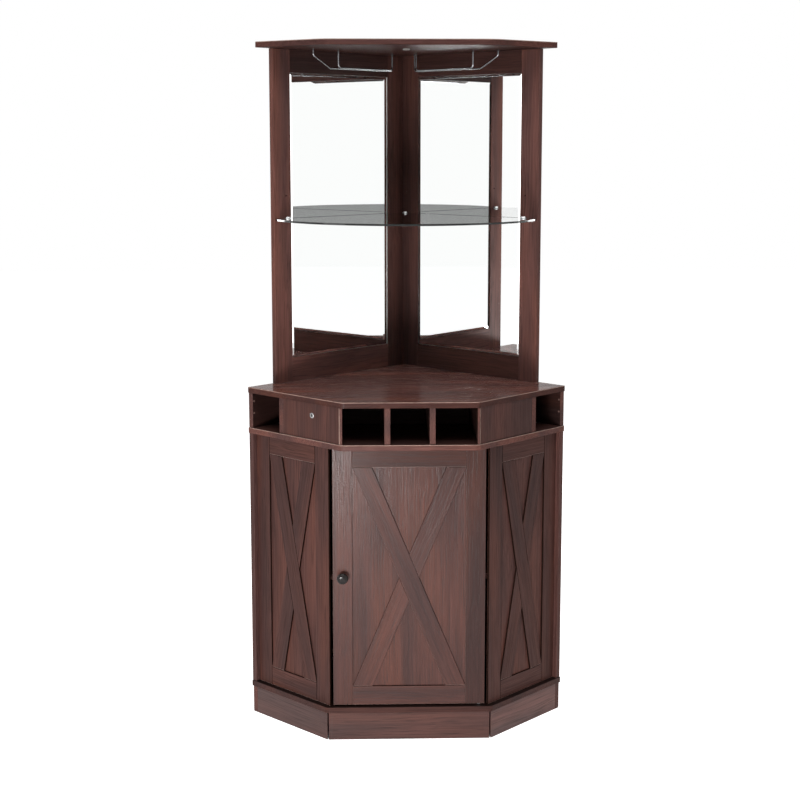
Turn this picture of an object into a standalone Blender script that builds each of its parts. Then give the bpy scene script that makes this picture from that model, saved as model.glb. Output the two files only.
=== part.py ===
# A five-sided corner bar cabinet: a pentagonal base with one hinged door, a row
# of bottle cubbies, a counter, and a mirrored hutch with a glass shelf, a top
# board and two wire racks for stemware. The back corner points to +Y and the
# door faces -Y.
import math

import bmesh
import bpy
from mathutils import Matrix, Vector

# Driving dimensions, in metres.
# Whole cabinet: the half width is measured at the two corners that touch the walls.
half_width = 0.420
total_height = 1.790
counter_height = 0.894
cubby_height = 0.093
base_height = 0.0875
board = 0.015
counter_front = 0.248
base_front = 0.2075
vertex_round = 0.022
edge_round = 0.0006
gap = 0.0003

# Plinth, set back under the bottom board.
plinth_inset = 0.0025
plinth_seam = 0.0032

# Base: wall panels, fixed facet panels with an applied cross frame, and the door.
wall_setback = 0.0025
facet_recess = 0.015
panel = 0.012
trim = 0.004
frame_width = 0.050
strap_width = 0.047
door_reveal = 0.0105
door_face = 0.195
door_side_gap = 0.0065
door_end_gap = 0.003
hinge_inset = 0.014
hinge_pin_radius = 0.003
hinge_flange_radius = 0.0055
hinge_flange_gap = 0.0008
hinge_pin_in_door = 0.020
hinge_pin_in_board = 0.009
knob_from_edge = 0.025
knob_rise = 0.00375
knob_radius = 0.0145
knob_length = 0.026
knob_stud_radius = 0.002
catch_length = 0.044
catch_depth = 0.013
catch_height = 0.012
catch_from_edge = 0.045
catch_gap = 0.0005
strike_thickness = 0.0012

# Inner shelf on four pins.
shelf_height = 0.430
shelf_behind_door = 0.0147
shelf_clearance = 0.001
pin_radius = 0.0025
pin_in_wall = 0.009
pin_under_shelf = 0.010

# Bottle row between the middle board and the counter.
rack_recess = 0.003
side_cubby = 0.104
side_divider_depth = 0.318
outer_divider_inset = 0.003
divider_nose = 0.0065
nose_recess = 0.0035

# Push switch in the left cover.
switch_from_wall = 0.243
switch_drop = 0.031
switch_flange_radius = 0.0085
switch_flange = 0.0012
switch_body_radius = 0.0065
switch_body_length = 0.022
button_radius = 0.0031
button_length = 0.010
button_proud = 0.0010
button_travel = 0.0015

# Hutch: two framed walls with bevelled mirrors.
hutch_setback = 0.0876
stile = 0.060
bottom_rail = 0.065
top_rail = 0.060
mirror = 0.004
mirror_recess = 0.003
mirror_bevel = 0.010
mirror_bevel_drop = 0.0012
top_tip_inset = 0.0292
top_front = 0.0888
top_front_inset = 0.2035
top_round = 0.080

# Glass shelf with its arched front, and the three clips that carry it.
glass = 0.005
glass_height = 1.3335
glass_front = 0.215
glass_wall_gap = 0.003
glass_tip_setback = 0.0015
clip_width = 0.016
clip_reach = 0.013
clip_height = 0.014
clip_along = 0.130
corner_clip_from_corner = 0.016
spare_hole_radius = 0.0025
spare_hole_depth = 0.008
spare_hole_rise = 0.062

# Wire stemware racks under the top board.
wire_radius = 0.002
cross_wire_radius = 0.0017
wire_bend = 0.010
rail_drop = 0.047
near_rail_offset = 0.057
far_rail_offset = 0.097
rail_from_corner = 0.100
far_rail_from_corner = 0.1437
rail_front = 0.254
ramp_front = 0.193
ramp_drop = 0.016
far_leg = 0.246
wire_in_board = 0.007

# Round lamp under the top board.
lamp_radius = 0.009
lamp_height = 0.004
lamp_from_centre = 0.064

# How finely the curves are divided.
round_steps = 10
turn_steps = 28
socket_steps = 14
arc_steps = 40
bend_steps = 6
wire_steps = 2
weld = 0.000003
sharp_angle = math.radians(40)
flat_angle = math.radians(0.5)

# Shares of a length, for the turned profiles.
knob_shares = (
    (0.42, 0.00), (0.42, 0.06), (0.30, 0.16), (0.29, 0.40), (0.48, 0.50),
    (0.86, 0.58), (1.00, 0.70), (0.97, 0.84), (0.80, 0.95), (0.45, 1.00),
)
lamp_shares = ((1.00, 0.00), (1.00, 0.55), (0.86, 0.85), (0.60, 1.00))
button_shares = ((1.00, 0.00), (1.00, 0.93), (0.90, 1.00))
clip_nose_share = 0.45
shelf_pin_shares = (0.25, 0.75)
middle_cubby_share = 0.29

# Derived sizes.
root2 = math.sqrt(2)
wall_length = half_width * root2
middle_height = counter_height - board - cubby_height
# The back corner's chamfer is left out of the depth that is centred on the origin.
plan_shift = (counter_front - half_width + edge_round / root2) / 2
middle_under = middle_height - board
counter_under = counter_height - board
top_under = total_height - board
base_under = base_height - board
facet_back = facet_recess + trim + gap + panel
door_opening_half = half_width - base_front - door_reveal
door_half = door_opening_half - door_side_gap
door_low = base_height + door_end_gap
door_high = middle_under - door_end_gap
door_board_front = door_face - trim - gap
door_board_back = door_board_front - panel
hinge_x = door_half - hinge_inset
hinge_y = -(door_board_front + door_board_back) / 2
mirror_front_edge = hutch_setback + stile
mirror_rear_edge = wall_length - board - stile
side_divider_near = board + side_cubby
side_divider_far = side_divider_near + board
outer_divider = half_width - counter_front - outer_divider_inset
divider_inner = outer_divider * middle_cubby_share


def side_point(side, s, t):
    # A plan point beside one wall: s is the distance from the wall plane, t the
    # distance from the wall's free corner along the wall. side is -1 or 1.
    return side * (half_width - (s + t) / root2), (t - s) / root2


def side_s_at_x(x, t):
    # The s at which the line of constant t crosses the plane at x from the centre.
    return (half_width - x) * root2 - t


scene = bpy.context.scene
for old in list(bpy.data.objects):
    bpy.data.objects.remove(old, do_unlink=True)
cabinet = bpy.data.collections.new("corner_bar_cabinet")
cutters = bpy.data.collections.new("cutters")
scene.collection.children.link(cabinet)
scene.collection.children.link(cutters)
cutters.hide_render = True

finishes = {
    "espresso_laminate": ((0.085, 0.034, 0.024, 1), 0.42, 0.0),
    "mirror_glass": ((0.90, 0.92, 0.92, 1), 0.03, 1.0),
    "mirror_backing": ((0.30, 0.22, 0.15, 1), 0.75, 0.0),
    "clear_glass": ((0.75, 0.86, 0.82, 1), 0.05, 0.0),
    "chrome": ((0.78, 0.78, 0.79, 1), 0.15, 1.0),
    "black_metal": ((0.02, 0.02, 0.02, 1), 0.40, 0.8),
    "steel": ((0.60, 0.60, 0.61, 1), 0.35, 1.0),
    "white_plastic": ((0.80, 0.80, 0.78, 1), 0.45, 0.0),
    "black_plastic": ((0.03, 0.03, 0.03, 1), 0.45, 0.0),
}


def finish(obj, kind):
    colour, roughness, metallic = finishes[kind]
    material = bpy.data.materials.new(obj.name + "_" + kind)
    material.use_nodes = True
    shader = material.node_tree.nodes["Principled BSDF"]
    shader.inputs["Base Color"].default_value = colour
    shader.inputs["Roughness"].default_value = roughness
    shader.inputs["Metallic"].default_value = metallic
    obj.data.materials.append(material)


def linked(name, mesh, kind, centre):
    # A part with its own material, or a cutter where kind is None.
    obj = bpy.data.objects.new(name, mesh)
    obj.location = Vector(centre) + Vector((0, plan_shift, 0))
    if kind is None:
        cutters.objects.link(obj)
        obj.hide_render = True
        obj.display_type = "WIRE"
    else:
        cabinet.objects.link(obj)
        finish(obj, kind)
    return obj


def mesh_from(shape, name):
    mesh = bpy.data.meshes.new(name)
    shape.to_mesh(mesh)
    shape.free()
    return mesh


def mesh_of_curve(curve):
    # A curve's evaluated mesh, with its caps welded on and each flat side one face.
    draft = bpy.data.objects.new(curve.name + "_draft", curve)
    scene.collection.objects.link(draft)
    graph = bpy.context.evaluated_depsgraph_get()
    mesh = bpy.data.meshes.new_from_object(draft.evaluated_get(graph))
    shape = bmesh.new()
    shape.from_mesh(mesh)
    bmesh.ops.remove_doubles(shape, verts=shape.verts, dist=weld)
    bmesh.ops.dissolve_limit(
        shape, angle_limit=flat_angle, verts=shape.verts, edges=shape.edges
    )
    bmesh.ops.recalc_face_normals(shape, faces=shape.faces)
    shape.to_mesh(mesh)
    shape.free()
    bpy.data.objects.remove(draft, do_unlink=True)
    bpy.data.curves.remove(curve)
    return mesh


def poly_curve(name, points, closed):
    curve = bpy.data.curves.new(name, "CURVE")
    spline = curve.splines.new("POLY")
    spline.points.add(len(points) - 1)
    for point, co in zip(spline.points, points):
        point.co = (*co, 1)
    spline.use_cyclic_u = closed
    return curve


def shade_round(mesh):
    mesh.shade_smooth()
    mesh.set_sharp_from_angle(angle=sharp_angle)


def soften(obj):
    edge = obj.modifiers.new("edge", "BEVEL")
    edge.width = edge_round
    edge.segments = 1
    edge.limit_method = "ANGLE"
    edge.angle_limit = sharp_angle
    return obj


def box(name, size, centre, turn=0, kind="espresso_laminate", soft=True):
    shape = bmesh.new()
    bmesh.ops.create_cube(shape, size=1, matrix=Matrix.Diagonal((*size, 1)))
    obj = linked(name, mesh_from(shape, name), kind, centre)
    obj.rotation_euler.z = turn
    return soften(obj) if soft and kind else obj


def outline(name, plan, low, high, kind="espresso_laminate", soft=True):
    # A flat outline filled and extruded from low to high.
    x, y = ((min(axis) + max(axis)) / 2 for axis in zip(*plan))
    curve = poly_curve(name, [(px - x, py - y, 0) for px, py in plan], True)
    curve.dimensions = "2D"
    curve.fill_mode = "BOTH"
    curve.extrude = (high - low) / 2
    obj = linked(name, mesh_of_curve(curve), kind, (x, y, (low + high) / 2))
    return soften(obj) if soft and kind else obj


def cut(obj, *tools):
    for tool in tools:
        difference = obj.modifiers.new(tool.name, "BOOLEAN")
        difference.operation = "DIFFERENCE"
        difference.solver = "EXACT"
        difference.object = tool
    return obj


def join(obj, *tools):
    for tool in tools:
        union = obj.modifiers.new(tool.name, "BOOLEAN")
        union.operation = "UNION"
        union.solver = "EXACT"
        union.object = tool
    return obj


def aim(obj, direction):
    obj.rotation_euler = Vector(direction).to_track_quat("Z", "Y").to_euler()


def turned(name, profile, centre, direction, kind):
    # The profile's (radius, height) pairs run along direction from centre, and
    # its two ends close on the axis.
    shape = bmesh.new()
    points = [(0, profile[-1][1]), *reversed(profile), (0, profile[0][1])]
    verts = [shape.verts.new((r, 0, z)) for r, z in points]
    for pair in zip(verts, verts[1:]):
        shape.edges.new(pair)
    obj = linked(name, mesh_from(shape, name), kind, centre)
    aim(obj, direction)
    screw = obj.modifiers.new("turn", "SCREW")
    screw.steps = screw.render_steps = turn_steps
    screw.use_merge_vertices = True
    screw.merge_threshold = weld
    graph = bpy.context.evaluated_depsgraph_get()
    mesh = bpy.data.meshes.new_from_object(obj.evaluated_get(graph))
    obj.modifiers.clear()
    obj.data = mesh
    shade_round(mesh)
    return obj


def rod(name, radius, start, end, kind=None, steps=turn_steps):
    start, end = Vector(start), Vector(end)
    shape = bmesh.new()
    bmesh.ops.create_cone(
        shape, cap_ends=True, segments=steps, radius1=radius, radius2=radius,
        depth=(end - start).length,
    )
    obj = linked(name, mesh_from(shape, name), kind, (start + end) / 2)
    aim(obj, end - start)
    shade_round(obj.data)
    return obj


def rounded(plan, corners):
    # Replaces the listed corners of a plan by arcs: {index: radius}.
    result = []
    for i, point in enumerate(plan):
        if i not in corners:
            result.append(point)
            continue
        here = Vector(point)
        before = (Vector(plan[i - 1]) - here).normalized()
        after = (Vector(plan[(i + 1) % len(plan)]) - here).normalized()
        half = before.angle(after) / 2
        radius = corners[i]
        centre = here + (before + after).normalized() * radius / math.sin(half)
        first = here + before * radius / math.tan(half) - centre
        sweep = math.pi - 2 * half
        if first.x * after.y - first.y * after.x < 0:
            sweep = -sweep
        start = math.atan2(first.y, first.x)
        for k in range(round_steps + 1):
            a = start + sweep * k / round_steps
            result.append((centre.x + radius * math.cos(a), centre.y + radius * math.sin(a)))
    return result


def pentagon(front, radius):
    # The board outline: back corner, wall corners and the two front vertices.
    side = half_width - front
    plan = [
        (0, half_width), (half_width, 0), (side, -front), (-side, -front), (-half_width, 0),
    ]
    return rounded(plan, {2: radius, 3: radius})


def side_plan(side, *st):
    return [side_point(side, s, t) for s, t in st]


def side_board(name, side, s0, s1, t0, t1, low, high, kind="espresso_laminate", soft=True):
    # A board along one wall; its local -Y faces away from that wall.
    middle = side_point(side, (s0 + s1) / 2, (t0 + t1) / 2)
    return box(
        name, (t1 - t0, s1 - s0, high - low), (*middle, (low + high) / 2),
        -side * math.pi / 4, kind, soft,
    )


def wall_run_end(side):
    # The left wall pieces reach the back corner and the right ones butt against them.
    return wall_length if side < 0 else wall_length - board - gap


sides = ((-1, "left"), (1, "right"))

# Plinth: five boards; the facet boards meet the front board with an open seam.
plinth_top = base_under - gap
plinth_front_y = base_front - plinth_inset
plinth_vertex = half_width - plinth_front_y - root2 * plinth_inset
box(
    "plinth_front", (2 * (plinth_vertex - plinth_seam), board, plinth_top),
    (0, board / 2 - plinth_front_y, plinth_top / 2),
)
for side, word in sides:
    inner = plinth_inset + board
    outline(
        "plinth_facet_" + word,
        side_plan(
            side,
            (inner + gap, plinth_inset),
            (side_s_at_x(plinth_vertex, plinth_inset), plinth_inset),
            (side_s_at_x(plinth_vertex, inner), inner),
            (inner + gap, inner),
        ),
        0, plinth_top,
    )
    side_board(
        "plinth_wall_" + word, side,
        plinth_inset, inner, plinth_inset, wall_run_end(side) - plinth_inset, 0, plinth_top,
    )

# Bottom board, with the lower pivot hole of the door.
bottom_board = outline(
    "bottom_board", pentagon(base_front, vertex_round), base_under, base_height
)
cut(
    bottom_board,
    rod(
        "cut_lower_pivot", hinge_pin_radius + gap,
        (hinge_x, hinge_y, base_height - hinge_pin_in_board - gap),
        (hinge_x, hinge_y, base_height + board),
    ),
)

# Wall panels of the base, with holes for the shelf pins.
pin_centre_z = shelf_height - board - gap - pin_radius
pin_places = []
for side, word in sides:
    wall = side_board(
        "lower_wall_" + word, side, 0, board, wall_setback, wall_run_end(side),
        base_height + gap, middle_under - gap,
    )
    for number, share in enumerate(shelf_pin_shares, 1):
        t = share * wall_length
        inside = side_point(side, board + pin_under_shelf, t)
        deep = side_point(side, board - pin_in_wall, t)
        deeper = side_point(side, board - pin_in_wall - gap, t)
        pin_places.append((word + "_" + str(number), deep, inside))
        cut(
            wall,
            rod(
                "cut_pin_" + word + "_" + str(number), pin_radius + gap,
                (*deeper, pin_centre_z), (*inside, pin_centre_z),
            ),
        )
for word, deep, inside in pin_places:
    rod("shelf_pin_" + word, pin_radius, (*deep, pin_centre_z), (*inside, pin_centre_z), "steel")


def cross_frame(name, width, height, centre, turn=0):
    # A flat rectangular frame with a diagonal cross: four triangular openings are
    # cut from a plate. Local x runs across and y through the thickness.
    plate = box(name, (width, trim, height), centre, turn, soft=False)
    w, h = width - 2 * frame_width, height - 2 * frame_width
    # The strap's edges run from corner to corner, so its width across follows its slope.
    across = strap_width
    for _ in range(round_steps):
        across = strap_width * math.hypot(w - across, h) / h
    meet = h / 2 - h * (w / 2 - across) / (w - across)
    triangles = (
        ((across - w / 2, h / 2), (w / 2 - across, h / 2), (0, meet)),
        ((across - w / 2, -h / 2), (0, -meet), (w / 2 - across, -h / 2)),
        ((-w / 2, h / 2), (-across / 2, 0), (-w / 2, -h / 2)),
        ((w / 2, h / 2), (w / 2, -h / 2), (across / 2, 0)),
    )
    for number, corners in enumerate(triangles, 1):
        tool = outline("cut_" + name + "_" + str(number), corners, -trim, trim, None)
        x, y = ((min(axis) + max(axis)) / 2 for axis in zip(*corners))
        tool.parent = plate
        tool.location = (x, 0, y)
        tool.rotation_euler.x = math.pi / 2
        cut(plate, tool)
    return plate


# Facet panels: a plain board with the cross frame applied to its face.
facet_low, facet_high = base_height + gap, middle_under - gap
for side, word in sides:
    start = board + gap
    face_t = facet_recess + trim + gap
    outline(
        "facet_board_" + word,
        side_plan(
            side,
            (start, face_t),
            (side_s_at_x(door_opening_half, face_t), face_t),
            (side_s_at_x(door_opening_half, facet_back), facet_back),
            (start, facet_back),
        ),
        facet_low, facet_high,
    )
    finish_s = side_s_at_x(door_opening_half, facet_recess + trim)
    width = finish_s - start
    middle = side_point(side, (start + finish_s) / 2, facet_recess + trim / 2)
    cross_frame(
        "facet_trim_" + word, width, facet_high - facet_low,
        (*middle, (facet_low + facet_high) / 2), side * math.pi / 4,
    )

# Door, carried on two pivot pins in line. Its pieces hang on an empty on that line.
hinge_low = Vector((hinge_x, hinge_y, door_low))
door_pivot = bpy.data.objects.new("door_pivot", None)
door_pivot.location = hinge_low + Vector((0, plan_shift, 0))
cabinet.objects.link(door_pivot)


def hang(obj, *tools):
    for each in (obj, *tools):
        each.parent = door_pivot
        each.location -= door_pivot.location
    return cut(obj, *tools)


door_height = door_high - door_low
door_middle_z = (door_low + door_high) / 2
knob_at = Vector((knob_from_edge - door_half, -door_face - gap, door_middle_z + knob_rise))
knob_stud_length = door_face - door_board_back + trim


def knob_hole(name):
    return rod(
        name, knob_stud_radius + gap,
        knob_at - Vector((0, board, 0)), knob_at + Vector((0, 2 * board, 0)),
    )


hang(
    box(
        "door_board", (2 * door_half, panel, door_height),
        (0, -(door_board_front + door_board_back) / 2, door_middle_z),
    ),
    rod(
        "cut_door_pin_low", hinge_pin_radius + gap,
        (hinge_x, hinge_y, door_low - board),
        (hinge_x, hinge_y, door_low + hinge_pin_in_door + gap),
    ),
    rod(
        "cut_door_pin_high", hinge_pin_radius + gap,
        (hinge_x, hinge_y, door_high - hinge_pin_in_door - gap),
        (hinge_x, hinge_y, door_high + board),
    ),
    knob_hole("cut_knob_board"),
)
door_trim = cross_frame(
    "door_trim", 2 * door_half, door_height, (0, trim / 2 - door_face, door_middle_z)
)
hang(door_trim, knob_hole("cut_knob_trim"))
knob_profile = [(knob_stud_radius, -knob_stud_length), (knob_stud_radius, 0)]
knob_profile += [(r * knob_radius, z * knob_length) for r, z in knob_shares]
hang(turned("door_knob", knob_profile, knob_at, (0, -1, 0), "black_metal"))
pin_profile = [
    (hinge_pin_radius, -hinge_pin_in_door),
    (hinge_pin_radius, gap),
    (hinge_flange_radius, gap),
    (hinge_flange_radius, door_end_gap - hinge_flange_gap),
    (hinge_pin_radius, door_end_gap - hinge_flange_gap),
    (hinge_pin_radius, door_end_gap + hinge_pin_in_board),
]
hang(turned("hinge_pin_top", pin_profile, (hinge_x, hinge_y, door_high), (0, 0, 1), "steel"))
hang(turned("hinge_pin_bottom", pin_profile, hinge_low, (0, 0, -1), "steel"))
strike_x = catch_from_edge + catch_length / 2 - door_half
strike_back = -door_board_back + gap + strike_thickness
strike_height = catch_height - door_end_gap
hang(
    box(
        "door_strike", (catch_length, strike_thickness, strike_height),
        (strike_x, strike_back - strike_thickness / 2, door_high - catch_height + strike_height / 2),
        kind="steel", soft=False,
    )
)
box(
    "door_catch", (catch_length, catch_depth, catch_height),
    (strike_x, strike_back + catch_gap + catch_depth / 2, middle_under - gap - catch_height / 2),
    kind="black_plastic",
)

# Inner shelf: follows the walls and the facets, open to the door.
shelf_wall = board + shelf_clearance
shelf_facet = facet_back + shelf_clearance
shelf_front = door_board_back - shelf_behind_door
shelf_half = half_width - shelf_front - root2 * shelf_facet
left_back = side_point(-1, shelf_wall, shelf_facet)
outline(
    "inner_shelf",
    [
        (0, half_width - root2 * shelf_wall),
        (-left_back[0], left_back[1]),
        (shelf_half, -shelf_front),
        (-shelf_half, -shelf_front),
        left_back,
    ],
    shelf_height - board, shelf_height,
)

# Middle board, with the upper pivot hole of the door.
middle_board = outline(
    "middle_board", pentagon(counter_front, vertex_round), middle_under, middle_height
)
cut(
    middle_board,
    rod(
        "cut_upper_pivot", hinge_pin_radius + gap,
        (hinge_x, hinge_y, middle_under - board),
        (hinge_x, hinge_y, middle_under + hinge_pin_in_board + gap),
    ),
)

# Bottle row: a cubby beside each wall, a closed cover on each facet and three cubbies in front.
row_low, row_high = middle_height + gap, counter_under - gap
cover_end = outer_divider + divider_nose
covers = {}
for side, word in sides:
    side_board(
        "rack_wall_" + word, side, 0, board, wall_setback, wall_run_end(side), row_low, row_high
    )
    side_board(
        "rack_side_divider_" + word, side, side_divider_near, side_divider_far,
        rack_recess, rack_recess + side_divider_depth, row_low, row_high,
    )
    cover_back = rack_recess + board
    covers[word] = outline(
        "rack_cover_" + word,
        side_plan(
            side,
            (side_divider_far + gap, rack_recess),
            (side_s_at_x(cover_end, rack_recess), rack_recess),
            (side_s_at_x(cover_end, cover_back), cover_back),
            (side_divider_far + gap, cover_back),
        ),
        row_low, row_high,
    )

# Where the back of an outer divider meets the side divider's face.
divider_back = half_width - (outer_divider + board) - root2 * (side_divider_far + gap)
nose_y = -counter_front + nose_recess
nose_side = cover_end - gap
cover_inner = root2 * (rack_recess + board + gap) - half_width
for number, (sign, x0) in enumerate(
    ((-1, outer_divider), (-1, divider_inner), (1, divider_inner), (1, outer_divider)), 1
):
    x1 = x0 + board
    if x0 == outer_divider:
        plan = [
            (x0, nose_y), (nose_side, nose_y), (nose_side, cover_inner + nose_side),
            (x1, cover_inner + x1), (x1, divider_back), (x0, divider_back),
        ]
    else:
        end = divider_back - board - gap
        plan = [(x0, nose_y), (x1, nose_y), (x1, end), (x0, end)]
    outline(
        "rack_divider_" + str(number), [(sign * x, y) for x, y in plan], row_low, row_high
    )
box(
    "rack_back_stop", (2 * (outer_divider - gap), board, row_high - row_low),
    (0, divider_back - board / 2, (row_low + row_high) / 2),
)

# Push switch: a bezel with a blind bore, and the button that slides in it.
switch_z = counter_under - switch_drop
switch_x, switch_y = side_point(-1, switch_from_wall, rack_recess)
inward = Vector((1, 1, 0)).normalized()
switch_at = Vector((switch_x, switch_y, switch_z))
cut(
    covers["left"],
    rod(
        "cut_switch", switch_body_radius + gap,
        switch_at - inward * board, switch_at + inward * 2 * board,
    ),
)
bore_depth = button_length + button_travel + gap
bezel = turned(
    "switch_bezel",
    [
        (switch_flange_radius - switch_flange, -gap - switch_flange),
        (switch_flange_radius, -gap - switch_flange / 2),
        (switch_flange_radius, -gap),
        (switch_body_radius, -gap),
        (switch_body_radius, switch_body_length),
    ],
    switch_at, inward, "chrome",
)
cut(
    bezel,
    rod(
        "cut_button_bore", button_radius + gap,
        switch_at - inward * board, switch_at + inward * bore_depth,
    ),
)
button_back = button_length - gap - switch_flange - button_proud
turned(
    "switch_button",
    [(r * button_radius, z * button_length) for r, z in button_shares],
    switch_at + inward * button_back, -inward, "black_plastic",
)

# Counter.
outline("countertop", pentagon(counter_front, vertex_round), counter_under, counter_height)

# Hutch walls: stiles of full height, rails between them, a bevelled mirror and its backing.
hutch_low, hutch_high = counter_height + gap, top_under - gap
mirror_low, mirror_high = counter_height + bottom_rail, top_under - top_rail
glass_low = glass_height - glass
clip_centre_z = glass_low + glass / 2
mirror_near, mirror_far = mirror_front_edge + gap, mirror_rear_edge - gap
mirror_back_s = board - mirror_recess - mirror
for side, word in sides:
    front_stile = side_board(
        "hutch_front_stile_" + word, side, 0, board, hutch_setback, mirror_front_edge,
        hutch_low, hutch_high,
    )
    rear_stile = side_board(
        "hutch_rear_stile_" + word, side, 0, board, mirror_rear_edge, wall_run_end(side),
        hutch_low, hutch_high,
    )
    for rail, low, high in (
        ("bottom", hutch_low, mirror_low), ("top", mirror_high, hutch_high),
    ):
        side_board(
            "hutch_" + rail + "_rail_" + word, side, 0, board,
            mirror_near, mirror_far, low, high,
        )
    spares = [(front_stile, clip_along, "front")]
    if side > 0:
        spares.append((rear_stile, wall_length - board - corner_clip_from_corner, "rear"))
    for piece, t, place in spares:
        deep = side_point(side, board - spare_hole_depth, t)
        out = side_point(side, 2 * board, t)
        z = clip_centre_z + spare_hole_rise
        cut(piece, rod("cut_spare_" + place + "_" + word, spare_hole_radius, (*deep, z), (*out, z)))
    # The mirror's front edges are ground to a shallow slope.
    plate = side_board(
        "mirror_" + word, side, mirror_back_s, board - mirror_recess - mirror_bevel_drop,
        mirror_near, mirror_far, mirror_low + gap, mirror_high - gap, "mirror_glass", soft=False,
    )
    shape = bmesh.new()
    shape.from_mesh(plate.data)
    front = min(shape.faces, key=lambda face: face.calc_center_median().y)
    bmesh.ops.inset_region(
        shape, faces=[front], thickness=mirror_bevel, depth=mirror_bevel_drop
    )
    shape.to_mesh(plate.data)
    shape.free()
    side_board(
        "mirror_back_" + word, side, 0, mirror_back_s - gap,
        mirror_near, mirror_far, mirror_low + gap, mirror_high - gap, "mirror_backing",
    )

# Glass shelf: straight along the walls, with a circular arch in front.
glass_side = board + glass_wall_gap
tip_t = hutch_setback + glass_tip_setback
tip_x, tip_y = side_point(1, glass_side, tip_t)
rise = tip_y + glass_front
arch_radius = (tip_x ** 2 + rise ** 2) / (2 * rise)
arch_centre = arch_radius - glass_front
reach = math.asin(min(1, tip_x / arch_radius))
if arch_centre < tip_y:
    reach = math.pi - reach
arch = []
for k in range(arc_steps + 1):
    a = reach * (1 - 2 * k / arc_steps)
    arch.append((arch_radius * math.sin(a), arch_centre - arch_radius * math.cos(a)))
outline(
    "glass_shelf", [(0, half_width - root2 * glass_side)] + arch,
    glass_low, glass_height, "clear_glass", soft=False,
)


def shelf_clip(name, side, t):
    # A small block with a rounded nose, slotted for the edge of the glass.
    nose = clip_reach * clip_nose_share
    profile = rounded(
        [
            (board + gap, t - clip_width / 2), (board + clip_reach, t - clip_width / 2),
            (board + clip_reach, t + clip_width / 2), (board + gap, t + clip_width / 2),
        ],
        {1: nose, 2: nose},
    )
    block = outline(
        name, side_plan(side, *profile),
        clip_centre_z - clip_height / 2, clip_centre_z + clip_height / 2, "chrome", soft=False,
    )
    slot = side_board(
        "cut_" + name, side, glass_side - gap, board + 2 * clip_reach,
        t - clip_width, t + clip_width, glass_low - gap, glass_height + gap, None,
    )
    cut(block, slot)


shelf_clip("shelf_clip_left", -1, clip_along)
shelf_clip("shelf_clip_right", 1, clip_along)
corner_t = wall_length - board - corner_clip_from_corner
shelf_clip("shelf_clip_corner", 1, corner_t)

# Top board: tips beyond the hutch walls and a shallow front, with sockets for the wires.
top_tip, top_front_half = half_width - top_tip_inset, half_width - top_front_inset
top_plan = rounded(
    [
        (0, half_width), (top_tip, half_width - top_tip), (top_front_half, -top_front),
        (-top_front_half, -top_front), (-top_tip, half_width - top_tip),
    ],
    {2: top_round, 3: top_round},
)
top_board = outline("top_board", top_plan, top_under, total_height)


def bent_path(points, radius):
    # Rounds the inner corners of a polyline in space.
    path = [Vector(points[0])]
    for before, here, after in zip(points, points[1:], points[2:]):
        here = Vector(here)
        a = (Vector(before) - here).normalized()
        b = (Vector(after) - here).normalized()
        half = a.angle(b) / 2
        reach = radius / math.tan(half)
        centre = here + (a + b).normalized() * radius / math.sin(half)
        first, last = here + a * reach - centre, here + b * reach - centre
        for k in range(bend_steps + 1):
            path.append(centre + first.slerp(last, k / bend_steps) * radius)
    path.append(Vector(points[-1]))
    return path


def wire(name, points, kind):
    # A round wire with closed ends along a bent path.
    centre = (Vector(points[0]) + Vector(points[-1])) / 2
    path = [point - centre for point in bent_path(points, wire_bend)]
    curve = poly_curve(name, path, False)
    curve.dimensions = "3D"
    curve.bevel_depth = wire_radius
    curve.bevel_resolution = wire_steps
    curve.use_fill_caps = True
    obj = linked(name, mesh_of_curve(curve), kind, centre)
    shade_round(obj.data)
    return obj


rail_z = top_under - rail_drop
rail_back = wall_length - rail_from_corner
far_rail_back = wall_length - far_rail_from_corner
wire_top = top_under + wire_in_board
for side, word in sides:
    def at(s, t, z):
        return (*side_point(side, s, t), z)

    near = [
        at(near_rail_offset, ramp_front, wire_top),
        at(near_rail_offset, ramp_front, top_under - ramp_drop),
        at(near_rail_offset, rail_front, rail_z),
        at(near_rail_offset, rail_back, rail_z),
        at(near_rail_offset, rail_back, wire_top),
    ]
    far = [
        at(far_rail_offset, far_leg, wire_top),
        at(far_rail_offset, far_leg, rail_z),
        at(far_rail_offset, far_rail_back, rail_z),
        at(far_rail_offset, far_rail_back, wire_top),
    ]
    cross_z = rail_z + wire_bend + wire_radius
    rack = wire("glass_rack_" + word, near, "chrome")
    join(
        rack,
        rod(
            "join_bar_" + word, cross_wire_radius,
            at(near_rail_offset, rail_back, cross_z),
            at(far_rail_offset, far_rail_back, cross_z), steps=socket_steps,
        ),
        wire("join_far_" + word, far, None),
    )
    feet = (
        (near_rail_offset, ramp_front), (near_rail_offset, rail_back),
        (far_rail_offset, far_leg), (far_rail_offset, far_rail_back),
    )
    for number, (s, t) in enumerate(feet, 1):
        cut(
            top_board,
            rod(
                "cut_foot_" + word + "_" + str(number), wire_radius + gap,
                at(s, t, top_under - board), at(s, t, wire_top + gap), steps=socket_steps,
            ),
        )

# Lamp.
turned(
    "spot_lamp",
    [(r * lamp_radius, z * lamp_height) for r, z in lamp_shares],
    (0, lamp_from_centre, top_under - gap), (0, 0, -1), "white_plastic",
)
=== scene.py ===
import math

import bmesh
import bpy
from mathutils import Matrix, Vector


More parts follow.
